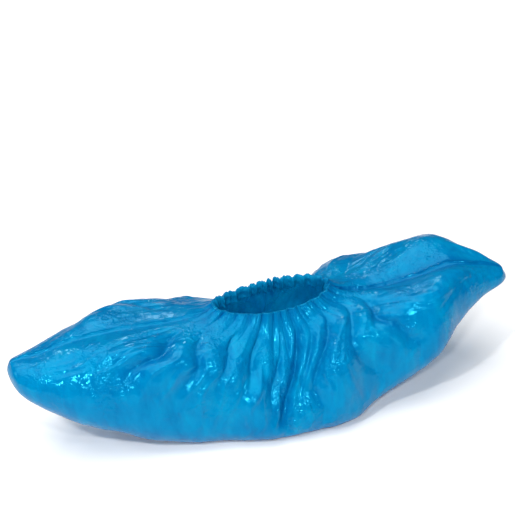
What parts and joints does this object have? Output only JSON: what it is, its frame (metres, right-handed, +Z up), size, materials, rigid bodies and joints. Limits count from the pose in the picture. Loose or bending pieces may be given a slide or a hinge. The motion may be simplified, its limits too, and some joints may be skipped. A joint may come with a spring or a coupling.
{
  "type": "shoe cover",
  "caption": "Disposable overshoe of thin blue film: a boat-shaped bag with two raised tips, gathered on an elastic hem round the opening for the foot.",
  "frame": {"origin": "middle of the cover's outline on the plane that its sole rests on", "axes": "+X from the left tip to the right tip as seen in the picture, +Y away from the viewer, +Z up out of the opening"},
  "size_m": [0.365, 0.1298, 0.0853],
  "materials": {
    "film": "glossy, slightly translucent polyethylene film",
    "elastic": "matt"
  },
  "bodies": {
    "root": {"film_bag": "film", "gathered_hem": "film", "elastic_band": "elastic"}
  },
  "joints": []
}
